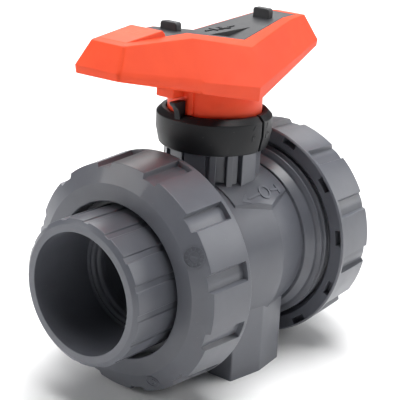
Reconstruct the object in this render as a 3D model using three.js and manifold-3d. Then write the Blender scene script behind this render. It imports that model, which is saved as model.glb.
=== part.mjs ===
// True-union ball valve in grey plastic with solvent-cement sockets, an orange two-arm lever,
// a black index ring and a black key insert. Millimetres, +Z up.
// The origin is the centre of the foot's underside. The pipe axis runs along X.
import * as THREE from 'three';
import { ConvexGeometry } from 'three/addons/geometries/ConvexGeometry.js';
import { mergeVertices } from 'three/addons/utils/BufferGeometryUtils.js';
import Module from 'manifold-3d';

const wasm = await Module();
wasm.setup();

// ---- Driving dimensions. Radii, and distances from the pipe axis or the stem axis. ----
const GAP = 0.3;                 // clearance between pieces that touch
const AXIS_HEIGHT = 63;          // pipe axis above the foot's underside
const PASSAGE_R = 25;            // DN 50 bore
const SOCKET_R = 31.5;           // socket for a 63 mm pipe
const SOCKET_DEPTH = 38;
const END_FACE = 101;            // pipe axis: centre to socket face
const END_R = 38.2;              // union end, outside
const END_FACE_R = 35.7;         // union end, front face inside its chamfer
const END_CHAMFER = 1.9;
const FLANGE_R = 46.4;
const FLANGE_OUT = 64.7;
const BODY_END = 54;             // centre to the body's end face
const CROWN_R = 48.1;
const CROWN_EDGE_R = 43.4;
const CROWN_EDGE = 29.8;
const COLLAR_R = 45.2;           // step beside the thread
const SHOULDER_R = 47.9;
const SHOULDER = 35.15;
const THREAD_R = 51.4;
const THREAD_ROOT_R = 49.2;
const THREAD_PITCH = 4.6;
const FIRST_CREST = 36.9;
const CHAMBER_R = 39;            // ball chamber
const CHAMBER_END = 33.3;
const BUSH_R = 40.3;
const BALL_R = 38;
const SEAT_IN = 22.6;
const SEAT_OUT = 30.4;
const SEAT_LIP = 28.4;
const BUSH_SEAL = [-41.6, -38.4];
const BUSH_SEAL_R = 38;
const FACE_SEAL = 56.9;          // bottom of the seal groove in a union end
const FACE_SEAL_IN_R = 32.6;
const FACE_SEAL_OUT_R = 38.6;
const NUT_BACK = 41.2;           // centre to the nut's body-side rim
const NUT_EDGE = 69.8;
const NUT_FACE = 75.2;
const NUT_BACK_R = 62.1;
const NUT_EDGE_R = 60.5;
const NUT_FACE_R = 50.7;
const NUT_MOUTH_R = 41.2;
const NUT_THREAD_R = 51.9;
const GROOVES = 12;
const GROOVE_HALF = 4.9;         // at the nut's surface
const GROOVE_FLOOR_HALF = 4;
const GROOVE_WALL_R = 58.2;      // floor beside its walls
const GROOVE_FLOOR_R = 58.6;     // ridge along its middle
const GROOVE_END = 44.6;         // the rim beside the body stays whole
const FRONT_PHASE = 13.3;        // angle of one grip groove above -Y, degrees
const REAR_PHASE = 23.5;
const FOOT_X = 21.7;
const FOOT_Y_END = 37.6;
const FOOT_Y_MID = 40.7;
const FOOT_TOP = -10;
const INSERT_SPACING = 45;       // M8 threaded inserts in the foot
const INSERT_R = 5.6;
const INSERT_HOLE_R = 3.4;
const INSERT_DEPTH = 14;
const PAD_X = 20.5;              // emblem pad: corner, side corner and point
const PAD_Y = 32.5;
const PAD_POINT_Y = 38.2;
const PAD_RISE = 1.3;
const STEM_R = 9;
const STEM_COLLAR_R = 13;
const STEM_COLLAR = [39.6, 43.6];
const STEM_ROUND_TOP = 74;
const STEM_TOP = 96;
const STEM_SQUARE = 12.6;
const SEAL_GROOVE_R = 7.2;
const LOWER_SEAL_GROOVE = [49, 52];
const UPPER_SEAL_GROOVE = [57, 60];
const TANG_HALF = 4;
const TANG_LENGTH = 11;
const TANG_BASE = 31;
const SCREW_R = 2.7;
const SCREW_HEAD_R = 6;
const SCREW_HEAD = [100.3, 104.6];
const NECK_R = 27.4;
const NECK_TOP = 59;
const SPIGOT_R = 25;
const SPIGOT_TOP = 70.9;
const RING_R = 31.2;
const RING_IN_R = 26.1;
const RING_BASE_R = 29.5;
const RING_TOP_R = 28.4;
const RING_BASE = 59.4;
const RING_TAPER = 68;
const RING_SHOULDER = 76.1;
const RING_TOP = 79;
const POST_Y = [-1.4, 2.4];      // thumb post beside the hub; its top flares outwards
const POST_OUTLINE = [
  [-26.3, 72], [-30.5, 72], [-30.5, 78], [-31, 80], [-32, 82.4], [-34.4, 84.6], [-35.2, 85.8],
  [-35.2, 86.7], [-26.3, 86.7],
];
const RING_SLIT = [1, 3];
const HUB_R = 25.4;
const HUB_BASE = 71.4;
const LEVER_WALL = 2.8;
const LUG = [[-34, -21], [1, 12.4], [88, 96]];
const RIB_Y = [6.2, 8.2];        // two ribs along the lever, under its top
const CROSS_RIBS = [-62, 48];
const CROSS_RIB = 2.4;
const POCKET_DEPTH = 3.6;        // recess for the key insert, below the rim
const KEY_THICKNESS = 3.1;
const LEFT_RECESS_END = -55;
const RIGHT_RECESS_END = 57.6;

// ---- Lever stations: half widths and heights above the pipe axis, mirrored about y = 0. ----
const LEVER = {
  mid: { belt: [0, 29.3, 94.5], foot: [0, 28.9, 87.1], outer: [0, 22.3, 114.5], inner: [0, 17, 117.8] },
  left: {
    belt: [-92.6, 14.7, 112], foot: [-92.2, 14.4, 107.9], outer: [-85.6, 11.1, 123.6],
    inner: [-82, 9, 124.9], kinkOuter: [-40.6, 15.5, 122.9], kinkInner: [-39.8, 11, 125],
  },
  right: {
    belt: [76, 12.5, 108], foot: [75.6, 12.2, 104.4], outer: [64.9, 9.6, 123],
    inner: [57.6, 8.4, 123.7], kinkOuter: [45.6, 12.9, 122.2], kinkInner: [43, 10, 123.7],
  },
};

// ---- Colours ----
const FINISH = {
  greyPlastic: { color: 0x6d7078, roughness: 0.5, metalness: 0 },
  orangePlastic: { color: 0xf0552f, roughness: 0.45, metalness: 0 },
  blackPlastic: { color: 0x1d1e21, roughness: 0.5, metalness: 0 },
  seatPlastic: { color: 0xf2f1ec, roughness: 0.35, metalness: 0 },
  rubber: { color: 0x131313, roughness: 0.8, metalness: 0 },
  brass: { color: 0xb9954c, roughness: 0.35, metalness: 1 },
  steel: { color: 0xb5b8bb, roughness: 0.3, metalness: 1 },
};

// ---- Solids ----
function signedVolume(position, index) {
  const a = new THREE.Vector3();
  const b = new THREE.Vector3();
  const c = new THREE.Vector3();
  let volume = 0;
  for (let i = 0; i < index.length; i += 3) {
    a.fromBufferAttribute(position, index[i]);
    b.fromBufferAttribute(position, index[i + 1]);
    c.fromBufferAttribute(position, index[i + 2]);
    volume += a.dot(b.cross(c)) / 6;
  }
  return volume;
}

function solid(geometry) {
  const bare = new THREE.BufferGeometry();
  bare.setAttribute('position', geometry.getAttribute('position').clone());
  if (geometry.index) bare.setIndex(geometry.index.clone());
  const merged = mergeVertices(bare, 1e-4);
  const index = [];
  const source = merged.index.array;
  for (let i = 0; i < source.length; i += 3) {
    const [a, b, c] = [source[i], source[i + 1], source[i + 2]];
    if (a !== b && b !== c && a !== c) index.push(a, b, c);
  }
  if (signedVolume(merged.getAttribute('position'), index) < 0) index.reverse();
  return new wasm.Manifold(new wasm.Mesh({
    numProp: 3,
    vertProperties: new Float32Array(merged.getAttribute('position').array),
    triVerts: new Uint32Array(index),
  }));
}

function geometryOf(manifold) {
  const mesh = manifold.getMesh();
  const geometry = new THREE.BufferGeometry();
  geometry.setAttribute('position', new THREE.BufferAttribute(mesh.vertProperties, 3));
  geometry.setIndex(new THREE.BufferAttribute(mesh.triVerts, 1));
  geometry.computeVertexNormals();
  return geometry;
}

// A closed profile of [distance along the axis, radius] turned about X or Z.
function turned(profile, axis, segments) {
  const points = profile.map(([along, radius]) => new THREE.Vector2(radius, along));
  points.push(points[0].clone());
  const geometry = new THREE.LatheGeometry(points, segments);
  if (axis === 'x') geometry.rotateZ(-Math.PI / 2);
  else geometry.rotateX(Math.PI / 2);
  return solid(geometry);
}

function rod(radius, from, to, axis, segments) {
  const geometry = new THREE.CylinderGeometry(radius, radius, to - from, segments);
  if (axis === 'x') geometry.rotateZ(-Math.PI / 2).translate((from + to) / 2, 0, 0);
  else geometry.rotateX(Math.PI / 2).translate(0, 0, (from + to) / 2);
  return solid(geometry);
}

function block([x0, x1], [y0, y1], [z0, z1]) {
  const geometry = new THREE.BoxGeometry(x1 - x0, y1 - y0, z1 - z0);
  return solid(geometry.translate((x0 + x1) / 2, (y0 + y1) / 2, (z0 + z1) / 2));
}

function prism(outline, z0, z1) {
  const shape = new THREE.Shape(outline.map(([x, y]) => new THREE.Vector2(x, y)));
  const geometry = new THREE.ExtrudeGeometry(shape, { depth: z1 - z0, bevelEnabled: false });
  return solid(geometry.translate(0, 0, z0));
}

function hull(points) {
  const both = points.flatMap(([x, y, z]) => [new THREE.Vector3(x, y, z), new THREE.Vector3(x, -y, z)]);
  return solid(new ConvexGeometry(both));
}

const join = (...solids) => solids.reduce((whole, piece) => whole.add(piece));
const cut = (whole, ...solids) => solids.reduce((rest, piece) => rest.subtract(piece), whole);
const sided = (side, profile) => profile.map(([along, radius]) => [side * along, radius]);

// ---- Body: crowned shell, two threaded ends, neck with spigot, emblem pad and foot ----
function threadProfile(side) {
  const points = [];
  for (let turn = 0; turn < 2; turn += 1) {
    const crest = FIRST_CREST + turn * THREAD_PITCH;
    points.push([crest - 1.5, THREAD_ROOT_R], [crest - 0.7, THREAD_R]);
    points.push([crest + 0.7, THREAD_R], [crest + 1.5, THREAD_ROOT_R]);
  }
  points.push([FIRST_CREST + 2 * THREAD_PITCH - 1.5, THREAD_ROOT_R]);
  points.push([FIRST_CREST + 2 * THREAD_PITCH - 0.7, THREAD_R]);
  points.push([BODY_END - 1.5, THREAD_R], [BODY_END, THREAD_R - 1.5]);
  return sided(side, points);
}

function bodyShell() {
  const half = (side) => [
    ...sided(side, [[CROWN_EDGE, CROWN_EDGE_R], [CROWN_EDGE, COLLAR_R], [SHOULDER, SHOULDER_R]]),
    ...threadProfile(side),
  ];
  const outer = [...half(-1).reverse(), [0, CROWN_R], ...half(1)];
  return turned([...outer, [BODY_END, 0], [-BODY_END, 0]], 'x', 40);
}

function bodyCavity() {
  return turned([
    [-BODY_END - 1, BUSH_R], [-CHAMBER_END, BUSH_R], [-CHAMBER_END, CHAMBER_R], [CHAMBER_END, CHAMBER_R],
    [CHAMBER_END, PASSAGE_R + 3], [BODY_END + 1, PASSAGE_R + 3], [BODY_END + 1, 0], [-BODY_END - 1, 0],
  ], 'x', 32);
}

function valveBody() {
  const foot = prism([
    [-FOOT_X, -FOOT_Y_END], [0, -FOOT_Y_MID], [FOOT_X, -FOOT_Y_END],
    [FOOT_X, FOOT_Y_END], [0, FOOT_Y_MID], [-FOOT_X, FOOT_Y_END],
  ], -AXIS_HEIGHT, FOOT_TOP);
  const neck = new THREE.CylinderGeometry(NECK_R, NECK_R, NECK_TOP - 20, 8);
  neck.rotateX(Math.PI / 2).rotateZ(Math.PI / 8).translate(0, 0, (NECK_TOP + 20) / 2);
  const padOutline = [
    [-PAD_X, -PAD_Y], [0, -PAD_POINT_Y], [PAD_X, -PAD_Y], [PAD_X, PAD_Y], [0, PAD_POINT_Y], [-PAD_X, PAD_Y],
  ];
  const pad = rod(CROWN_R + PAD_RISE, -PAD_X, PAD_X, 'x', 40).intersect(prism(padOutline, 10, NECK_TOP));
  const spigot = rod(SPIGOT_R, NECK_TOP - 1, SPIGOT_TOP, 'z', 32);
  const stemBore = rod(STEM_R + GAP, 30, SPIGOT_TOP + 1, 'z', 24);
  const collarBore = rod(STEM_COLLAR_R + GAP, 20, STEM_COLLAR[1] + 2, 'z', 24);
  const insertHoles = [-1, 1].map((side) => rod(INSERT_R + GAP, -AXIS_HEIGHT - 1,
    -AXIS_HEIGHT + INSERT_DEPTH + GAP, 'z', 16).translate([0, side * INSERT_SPACING / 2, 0]));
  const whole = join(bodyShell(), foot, solid(neck), pad, spigot);
  return cut(whole, bodyCavity(), stemBore, collarBore, ...insertHoles);
}

function footInsert(side) {
  const top = -AXIS_HEIGHT + INSERT_DEPTH;
  return turned([
    [-AXIS_HEIGHT + GAP, INSERT_HOLE_R], [-AXIS_HEIGHT + GAP, INSERT_R], [top, INSERT_R], [top, INSERT_HOLE_R],
  ], 'z', 16).translate([0, side * INSERT_SPACING / 2, 0]);
}

// ---- Ball, seats and stem ----
function ball() {
  const sphere = solid(new THREE.SphereGeometry(BALL_R, 28, 14).rotateX(Math.PI / 2));
  const past = BALL_R + 2;
  const slot = block([-past, past], [-TANG_HALF - 0.4, TANG_HALF + 0.4], [TANG_BASE - 0.5, past]);
  return cut(sphere, rod(PASSAGE_R, -past, past, 'x', 28), slot);
}

function ballSeat(side) {
  const touch = (along) => Math.sqrt(BALL_R ** 2 - along ** 2) + 2 * GAP;
  const middle = (SEAT_IN + SEAT_LIP) / 2;
  return turned(sided(side, [
    [SEAT_IN, touch(SEAT_IN)], [middle, touch(middle)], [SEAT_LIP, touch(SEAT_LIP)],
    [SEAT_OUT, PASSAGE_R + 0.5], [SEAT_OUT, CHAMBER_R - 2 * GAP], [SEAT_IN, CHAMBER_R - 2 * GAP],
  ]), 'x', 28);
}

// A sealing ring of hexagonal section, lying between two planes.
function sealRing(from, to, innerR, outerR, axis, segments) {
  const middle = (from + to) / 2;
  const quarter = (outerR - innerR) / 4;
  return turned([
    [from, innerR + quarter], [from, outerR - quarter], [middle, outerR],
    [to, outerR - quarter], [to, innerR + quarter], [middle, innerR],
  ], axis, segments);
}

function unionBush() {
  const keyway = block([-BODY_END, -BODY_END + 4], [-4, 4], [-BUSH_R, BUSH_R]);
  const ring = turned([
    [-BODY_END + GAP, PASSAGE_R + 3], [-BODY_END + GAP, BUSH_R - GAP], [BUSH_SEAL[0], BUSH_R - GAP],
    [BUSH_SEAL[0], BUSH_SEAL_R], [BUSH_SEAL[1], BUSH_SEAL_R], [BUSH_SEAL[1], BUSH_R - GAP],
    [-CHAMBER_END - GAP, BUSH_R - GAP],
    [-CHAMBER_END - GAP, PASSAGE_R + 3],
  ], 'x', 32);
  return cut(ring, keyway);
}

function stem() {
  const sealGroove = ([from, to]) => [
    [from, STEM_R], [from, SEAL_GROOVE_R], [to, SEAL_GROOVE_R], [to, STEM_R],
  ];
  const shaft = turned([
    [STEM_COLLAR[0], 0], [STEM_COLLAR[0], STEM_COLLAR_R], [STEM_COLLAR[1], STEM_COLLAR_R],
    [STEM_COLLAR[1], STEM_R], ...sealGroove(LOWER_SEAL_GROOVE), ...sealGroove(UPPER_SEAL_GROOVE),
    [STEM_ROUND_TOP, STEM_R], [STEM_ROUND_TOP, 0],
  ], 'z', 24);
  const half = STEM_SQUARE / 2;
  const square = block([-half, half], [-half, half], [STEM_ROUND_TOP - 1, STEM_TOP]);
  const tang = block([-TANG_LENGTH, TANG_LENGTH], [-TANG_HALF, TANG_HALF], [TANG_BASE, STEM_COLLAR[0] + 1]);
  const screwHole = rod(SCREW_R + GAP, 80, STEM_TOP + 1, 'z', 16);
  return cut(join(shaft, square, tang), screwHole);
}

// ---- Union ends and nuts ----
function unionEnd(side) {
  return turned(sided(side, [
    [BODY_END + GAP, PASSAGE_R + 0.5], [BODY_END + GAP, FACE_SEAL_IN_R], [FACE_SEAL, FACE_SEAL_IN_R],
    [FACE_SEAL, FACE_SEAL_OUT_R], [BODY_END + GAP, FACE_SEAL_OUT_R], [BODY_END + GAP, FLANGE_R], [FLANGE_OUT, FLANGE_R], [FLANGE_OUT, END_R + 0.2],
    [END_FACE - END_CHAMFER, END_R], [END_FACE, END_FACE_R], [END_FACE, SOCKET_R + 0.3],
    [END_FACE - SOCKET_DEPTH, SOCKET_R - 0.2], [END_FACE - SOCKET_DEPTH, PASSAGE_R + 2],
    [BODY_END + 6, PASSAGE_R + 0.5],
  ]), 'x', 40);
}

function unionNut(side, phase) {
  const shell = turned(sided(side, [
    [NUT_BACK, 54.2], [NUT_BACK, NUT_BACK_R - 0.8], [NUT_BACK + 0.8, NUT_BACK_R], [NUT_EDGE, NUT_EDGE_R],
    [NUT_FACE - 0.2, NUT_FACE_R], [NUT_FACE, NUT_MOUTH_R], [FLANGE_OUT + GAP, NUT_MOUTH_R],
    [FLANGE_OUT + GAP, NUT_THREAD_R], [NUT_BACK + 2.3, NUT_THREAD_R],
  ]), 'x', 60);
  const groove = prism([
    [-GROOVE_HALF, 66], [-GROOVE_HALF, NUT_EDGE_R], [-GROOVE_FLOOR_HALF, GROOVE_WALL_R], [0, GROOVE_FLOOR_R],
    [GROOVE_FLOOR_HALF, GROOVE_WALL_R], [GROOVE_HALF, NUT_EDGE_R], [GROOVE_HALF, 66],
  ], GROOVE_END, NUT_FACE + 5);
  // The outline's second axis becomes +Z and its height becomes the pipe axis.
  const along = side > 0 ? groove.rotate([90, 0, 90]) : groove.rotate([90, 0, -90]);
  const cutters = [];
  for (let i = 0; i < GROOVES; i += 1) {
    cutters.push(along.rotate([90 - phase - (i * 360) / GROOVES, 0, 0]));
  }
  return cut(shell, ...cutters);
}

// ---- Index ring ----
function indexRing() {
  const ring = turned([
    [RING_BASE, RING_IN_R], [RING_BASE, RING_BASE_R], [RING_TAPER, RING_R], [RING_SHOULDER, RING_R],
    [RING_TOP, RING_TOP_R], [RING_TOP, RING_IN_R],
  ], 'z', 40);
  const post = prism(POST_OUTLINE, -POST_Y[1], -POST_Y[0]).rotate([90, 0, 0]);
  const slit = block(RING_SLIT, [-35, -20], [RING_BASE - 1, RING_TOP + 1]);
  return cut(join(ring, post), slit);
}

// ---- Lever: two arms that rise from a valley over the stem ----
function leverArm(arm) {
  const { belt, foot, outer, inner, kinkOuter, kinkInner } = arm;
  return hull([belt, foot, outer, inner, kinkOuter, kinkInner,
    LEVER.mid.belt, LEVER.mid.foot, LEVER.mid.outer, LEVER.mid.inner]);
}

// The hollow under an arm: the arm's own corners moved in by the wall and down below the skirt.
function armHollow(arm) {
  const side = Math.sign(arm.belt[0]);
  const inwards = ([x, y, z], dz, dx = 0) => [x - side * dx, y - LEVER_WALL, z + dz];
  const { belt, foot, outer, kinkOuter } = arm;
  const roof = -POCKET_DEPTH - 1.6;
  return hull([
    inwards(foot, -6, LEVER_WALL), inwards(belt, 0, LEVER_WALL), inwards(outer, roof, LEVER_WALL),
    inwards(kinkOuter, roof), inwards(LEVER.mid.outer, roof), inwards(LEVER.mid.belt, 0),
    inwards(LEVER.mid.foot, -6),
  ]);
}

// The recess in the top of an arm, down to the given depth below the rim, drawn in by a clearance.
function armRecess(arm, end, depth, rise, clear) {
  const { kinkInner } = arm;
  const side = Math.sign(end);
  const stations = [
    [0, LEVER.mid.inner[1], LEVER.mid.inner[2]], [kinkInner[0], kinkInner[1], kinkInner[2]],
    [end - side * clear, end < 0 ? 10.2 : 8.4, kinkInner[2]],
  ];
  return hull(stations.flatMap(([x, y, z]) => [[x, y - clear, z - depth], [x, y - clear, z + rise]]));
}

function lever() {
  const shell = join(leverArm(LEVER.left), leverArm(LEVER.right));
  const hollow = join(armHollow(LEVER.left), armHollow(LEVER.right));
  const column = join(rod(HUB_R, HUB_BASE, 94, 'z', 40), rod(HUB_R, 93, 118, 'z', 40).intersect(shell));
  const crossRibs = CROSS_RIBS.map((x) => block([x, x + CROSS_RIB], [-16, 16], [100, 120]).intersect(shell));
  const longRibs = [-1, 1].map((half) => block([-84, 70], RIB_Y.map((y) => half * y).sort((a, b) => a - b),
    [100, 120]).intersect(shell));
  const lug = block(...LUG);
  const pad = hull([[-82, 8.6, 124.4], [-55.4, 10.2, 124], [-55.4, 10.2, 128], [-80, 8.6, 124.9]]);
  const square = [-STEM_SQUARE / 2 - GAP, STEM_SQUARE / 2 + GAP];
  const socket = block(square, square, [HUB_BASE - 1, STEM_TOP + 1]);
  const bore = rod(STEM_R + 0.5, HUB_BASE - 1, 74.5, 'z', 24);
  const screwHole = rod(SCREW_R + 2 * GAP, 90, 110, 'z', 16);
  const headRecess = rod(SCREW_HEAD_R + 1, SCREW_HEAD[0] - GAP, 125, 'z', 24);
  const whole = join(cut(shell, hollow), column, ...crossRibs, ...longRibs, lug, pad);
  const recess = join(armRecess(LEVER.left, LEFT_RECESS_END, POCKET_DEPTH, 6, 0),
    armRecess(LEVER.right, RIGHT_RECESS_END, POCKET_DEPTH, 6, 0));
  return cut(whole, recess, socket, bore, screwHole, headRecess);
}

function keyInsert() {
  const depth = POCKET_DEPTH - GAP;
  const rise = KEY_THICKNESS - depth;
  const plate = join(armRecess(LEVER.left, LEFT_RECESS_END, depth, rise, GAP),
    armRecess(LEVER.right, RIGHT_RECESS_END, depth, rise, GAP));
  const bridge = hull([[-17, 7.5, 119], [0, 7.5, 116], [20, 7.5, 119], [-17, 7.5, 120.6], [20, 7.5, 120.6]]);
  const leftTab = block([-39.5, -36], [-5.3, 5.3], [122.5, 129.6]);
  const rightTab = block([36, 39.5], [-5.3, 5.3], [121.5, 128.2]);
  return join(plate, bridge, leftTab, rightTab);
}

function leverScrew() {
  return turned([
    [84, 0], [84, SCREW_R], [SCREW_HEAD[0], SCREW_R], [SCREW_HEAD[0], SCREW_HEAD_R],
    [SCREW_HEAD[1], SCREW_HEAD_R], [SCREW_HEAD[1], 2.6], [SCREW_HEAD[1] - 2.4, 2.6], [SCREW_HEAD[1] - 2.4, 0],
  ], 'z', 16);
}

// ---- Assembly ----
const valve = new THREE.Group();
valve.position.z = AXIS_HEIGHT;

function add(name, manifold, finish) {
  const mesh = new THREE.Mesh(geometryOf(manifold), new THREE.MeshStandardMaterial(FINISH[finish]));
  mesh.name = name;
  valve.add(mesh);
}

add('valve_body', valveBody(), 'greyPlastic');
add('ball', ball(), 'greyPlastic');
add('stem', stem(), 'greyPlastic');
add('stem_bearing_ring', sealRing(STEM_COLLAR[1] + GAP, STEM_COLLAR[1] + 1.7, STEM_R + 2 * GAP, STEM_COLLAR_R - GAP, 'z', 16), 'seatPlastic');
for (const [level, [from, to]] of [['lower', LOWER_SEAL_GROOVE], ['upper', UPPER_SEAL_GROOVE]]) {
  const ring = sealRing(from + GAP, to - GAP, SEAL_GROOVE_R + GAP, STEM_R, 'z', 16);
  add(`stem_seal_${level}`, ring, 'rubber');
}
add('union_bush', unionBush(), 'greyPlastic');
add('union_bush_seal', sealRing(BUSH_SEAL[0] + GAP, BUSH_SEAL[1] - GAP, BUSH_SEAL_R + GAP, BUSH_R - GAP,
  'x', 24), 'rubber');
for (const [end, side, phase] of [['front', -1, FRONT_PHASE], ['rear', 1, REAR_PHASE]]) {
  const backing = [side * (SEAT_OUT + GAP), side * (CHAMBER_END - GAP)].sort((a, b) => a - b);
  const face = [side * (BODY_END + GAP), side * (FACE_SEAL - GAP)].sort((a, b) => a - b);
  add(`ball_seat_${end}`, ballSeat(side), 'seatPlastic');
  add(`seat_backing_ring_${end}`, sealRing(...backing, 30, 36, 'x', 24), 'rubber');
  add(`face_seal_${end}`, sealRing(...face, FACE_SEAL_IN_R + 0.5, FACE_SEAL_OUT_R - 0.5, 'x', 24), 'rubber');
  add(`union_end_${end}`, unionEnd(side), 'greyPlastic');
  add(`union_nut_${end}`, unionNut(side, phase), 'greyPlastic');
}
add('index_ring', indexRing(), 'blackPlastic');
add('lever', lever(), 'orangePlastic');
add('lever_screw', leverScrew(), 'steel');
add('key_insert', keyInsert(), 'blackPlastic');
add('foot_insert_left', footInsert(-1), 'brass');
add('foot_insert_right', footInsert(1), 'brass');

export default valve;
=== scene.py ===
"""True-union ball valve: grey plastic body, union ends and nuts, an orange lever with two arms,
a black index ring round its neck and a black key insert in the lever's top."""

import math

import bmesh
import bpy
from mathutils import Matrix, Vector


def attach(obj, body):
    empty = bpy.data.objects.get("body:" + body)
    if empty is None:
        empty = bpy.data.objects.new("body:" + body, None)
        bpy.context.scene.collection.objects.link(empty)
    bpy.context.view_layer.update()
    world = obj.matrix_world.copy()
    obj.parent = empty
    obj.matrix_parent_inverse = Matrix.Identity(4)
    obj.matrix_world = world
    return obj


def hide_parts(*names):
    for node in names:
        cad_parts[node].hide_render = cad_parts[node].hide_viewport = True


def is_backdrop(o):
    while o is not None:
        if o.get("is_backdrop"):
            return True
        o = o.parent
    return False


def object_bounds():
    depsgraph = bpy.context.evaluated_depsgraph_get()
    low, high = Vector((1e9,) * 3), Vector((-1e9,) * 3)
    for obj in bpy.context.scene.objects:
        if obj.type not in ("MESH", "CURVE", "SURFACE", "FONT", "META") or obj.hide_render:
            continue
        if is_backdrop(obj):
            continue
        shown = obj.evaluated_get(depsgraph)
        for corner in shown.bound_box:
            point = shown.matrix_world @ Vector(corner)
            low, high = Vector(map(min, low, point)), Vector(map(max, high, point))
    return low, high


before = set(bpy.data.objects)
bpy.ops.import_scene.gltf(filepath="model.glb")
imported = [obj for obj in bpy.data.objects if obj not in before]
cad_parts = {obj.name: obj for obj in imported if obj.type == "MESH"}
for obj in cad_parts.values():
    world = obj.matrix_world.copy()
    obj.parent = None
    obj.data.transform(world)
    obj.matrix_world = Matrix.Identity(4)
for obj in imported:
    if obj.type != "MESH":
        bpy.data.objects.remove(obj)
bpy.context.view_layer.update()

# Sizes are in millimetres from the crossing of the pipe axis X and the stem axis Z, as on the
# maker's drawing. A finished piece is brought to metres and up to the height of the pipe axis.
MM = 0.001
AXIS_HEIGHT = 63.0
GAP = 0.3
MERGE = 0.004
SUNK = 0.3

PASSAGE_R = 25.0
SOCKET_R = 31.5
SOCKET_DEPTH = 38.0
END_FACE = 101.0
END_R = 38.2
FLANGE_R = 46.4
FLANGE_OUT = 64.7
BODY_END = 54.0
CROWN_R, CROWN_X = 48.1, 5.0
CROWN_EDGE, CROWN_EDGE_R = 29.8, 43.4
COLLAR_R = 45.2
SHOULDER, SHOULDER_R = 35.15, 47.9
THREAD_R, THREAD_ROOT_R, THREAD_PITCH, FIRST_CREST = 51.4, 49.2, 4.6, 36.9
CHAMBER_R, CHAMBER_END, BUSH_R, WALL_R = 39.0, 33.3, 40.3, 42.0
BALL_R = 38.0
NUT_BACK, NUT_EDGE, NUT_FACE = 41.2, 69.8, 75.2
NUT_BACK_R, NUT_EDGE_R, NUT_FACE_R, NUT_MOUTH_R, NUT_THREAD_R = 62.1, 60.5, 50.7, 41.2, 51.9
NUT_GROOVES, GROOVE_END, GROOVE_BACK_R, GROOVE_FRONT_R = 12, 44.6, 59.1, 58.1
POCKET_R, POCKET_DEPTH = (57.5, 60.8), 4.5
FRONT_PHASE, REAR_PHASE = 13.3, 23.5
END_FLUTES, END_PHASE = 16, 19.5
FOOT_X, FOOT_Y_END, FOOT_Y_MID = 21.7, 37.6, 40.7
INSERT_Y, INSERT_R, INSERT_DEPTH = 22.5, 5.7, 14.3
NECK_FOOT, NECK_TOP, CORE_R, STEM_BORE_R = 40.0, 59.0, 22.4, 9.3
TANG_ROOM_R, TANG_ROOM_TOP = 13.3, 45.6
SPIGOT_R, SPIGOT_TOP = 25.0, 70.9
# Where each land of the neck starts, in degrees from +X, how many it spans, and its radius.
NECK_LANDS = ((180, 30, 24.0), (215, 8, 25.2), (236.5, 7.5, 25.4), (244, 9, 24.0),
              (256, 25, 26.2), (281, 27, 26.2), (313, 12, 25.6), (331, 26, 24.4))
PAD_LEFT, PAD_RIGHT = -17.5, 28.5
RING_R, RING_IN_R, RING_BASE_R, RING_TOP_R = 31.2, 26.1, 29.5, 28.4
RING_BASE, RING_TAPER, RING_SHOULDER, RING_TOP = 59.4, 68.0, 76.1, 79.0
HUB_R, HUB_BASE, HUB_RIB_R, HUB_RIB_WIDTH = 25.4, 71.4, 26.6, 2.6


# ---- Making and finishing meshes ----


def turned(bm, outline, axis, steps, first=0.0, sweep=360.0):
    """A closed outline of (along, radius) turned about X, from -Y upwards, or about Z, from +X round."""
    if axis == "X":
        pole, line = Vector((-1, 0, 0)), [Vector((along, -radius, 0)) for along, radius in outline]
    else:
        pole, line = Vector((0, 0, 1)), [Vector((radius, 0, along)) for along, radius in outline]
    start = Matrix.Rotation(math.radians(first), 3, pole)
    verts = [bm.verts.new(start @ point) for point in line]
    edges = [bm.edges.new(pair) for pair in pairs(verts)]
    full = sweep >= 360
    faces = [] if full else [bm.faces.new(verts)]
    bmesh.ops.spin(
        bm, geom=verts + edges + faces, cent=(0, 0, 0), axis=pole,
        angle=math.radians(sweep), steps=steps, use_merge=full,
    )
    bmesh.ops.remove_doubles(bm, verts=bm.verts, dist=MERGE)


def clean(bm):
    """Merges doubles and points the faces outwards."""
    bmesh.ops.remove_doubles(bm, verts=bm.verts, dist=MERGE)
    bmesh.ops.recalc_face_normals(bm, faces=bm.faces)


def pairs(loop):
    """Each member of a closed loop with the next one."""
    return zip(loop, loop[1:] + loop[:1])


def verts_of(made):
    """The vertices among the things an operator made."""
    return [item for item in made if isinstance(item, bmesh.types.BMVert)]


def cut(bm, point, normal, clear=False):
    """Cuts a mesh along a plane, and clears what lies past it if asked."""
    bmesh.ops.bisect_plane(
        bm, geom=bm.verts[:] + bm.edges[:] + bm.faces[:], plane_co=point, plane_no=normal, clear_outer=clear,
    )


def copy_into(bm, other):
    """Adds another bmesh's shell to this one, and frees the other."""
    mesh = bpy.data.meshes.new("shell")
    other.to_mesh(mesh)
    bm.from_mesh(mesh)
    bpy.data.meshes.remove(mesh)
    other.free()


def soften(bm, width, segments=2, angle=25.0, where=None):
    """Rounds every edge sharper than the angle, or those of them that where() picks."""
    sharp = [
        edge for edge in bm.edges
        if len(edge.link_faces) == 2
        and edge.calc_face_angle() > math.radians(angle)
        and (where is None or where(edge))
    ]
    bmesh.ops.bevel(
        bm, geom=sharp, offset=width, offset_type="OFFSET", affect="EDGES", segments=segments,
        profile=0.5, clamp_overlap=True, material=-1,
    )


def add_rounded(bm, other, width, segments, angle):
    """Cleans another bmesh, rounds its edges and adds it to this one."""
    clean(other)
    soften(other, width, segments, angle)
    copy_into(bm, other)


def facing(origin, right, out):
    """A frame that lies on a surface: its x runs to the right and its z stands out."""
    out = Vector(out).normalized()
    right = Vector(right)
    right = (right - right.project(out)).normalized()
    turn = Matrix((right, out.cross(right), out)).transposed().to_4x4()
    return Matrix.Translation(origin) @ turn


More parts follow.
